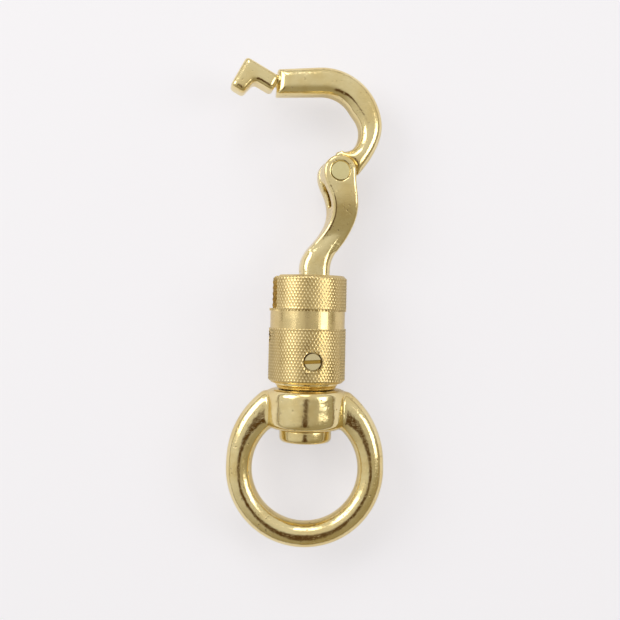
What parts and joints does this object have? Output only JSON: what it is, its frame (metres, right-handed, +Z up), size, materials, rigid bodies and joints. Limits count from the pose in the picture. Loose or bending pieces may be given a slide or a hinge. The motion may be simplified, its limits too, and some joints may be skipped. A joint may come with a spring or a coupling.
{
  "type": "panic snap",
  "caption": "Quick-release swivel snap: hinged hook on a curved arm, locked by a quarter turn of a knurled sleeve, with a round swivel eye.",
  "frame": {"origin": "centre of the eye's round opening, in the middle of its bar", "axes": "+Y along the swivel axis from the eye towards the hook, +X to the side the arm leans to, +Z up, square to the eye's flat plane"},
  "size_m": [0.04, 0.1205, 0.0198],
  "materials": {
    "polished_brass": "polished cast brass",
    "satin_brass": "knurled and machined brass",
    "screw_brass": "turned brass",
    "steel": "bright steel"
  },
  "bodies": {
    "eye": {"swivel_eye": "polished_brass"},
    "snap": {"body": "polished_brass", "swivel_pin": "polished_brass", "hinge_pin": "polished_brass", "detent_spring": "steel"},
    "hook": {"hook": "polished_brass"},
    "sleeve": {"sleeve": "satin_brass", "guide_screw": "screw_brass"},
    "ball": {"detent_ball": "steel"}
  },
  "joints": [
    {"name": "swivel", "type": "hinge", "parent": "eye", "child": "snap", "pos_m": [0, 0.02, 0], "axis": [0, 1, 0], "continuous": true},
    {"name": "hook_hinge", "type": "hinge", "parent": "snap", "child": "hook", "pos_m": [0.00642, 0.0737, -0.00102], "axis": [0.1564, 0, 0.9877], "range_deg": [0, 118]},
    {"name": "sleeve_twist", "type": "hinge", "parent": "snap", "child": "sleeve", "pos_m": [0, 0.035, 0], "axis": [0, 1, 0], "range_deg": [0, 90]},
    {"name": "ball_travel", "type": "slide", "parent": "snap", "child": "ball", "axis": [-0.9877, 0, 0.1564], "range_m": [0, 0.0008]}
  ]
}
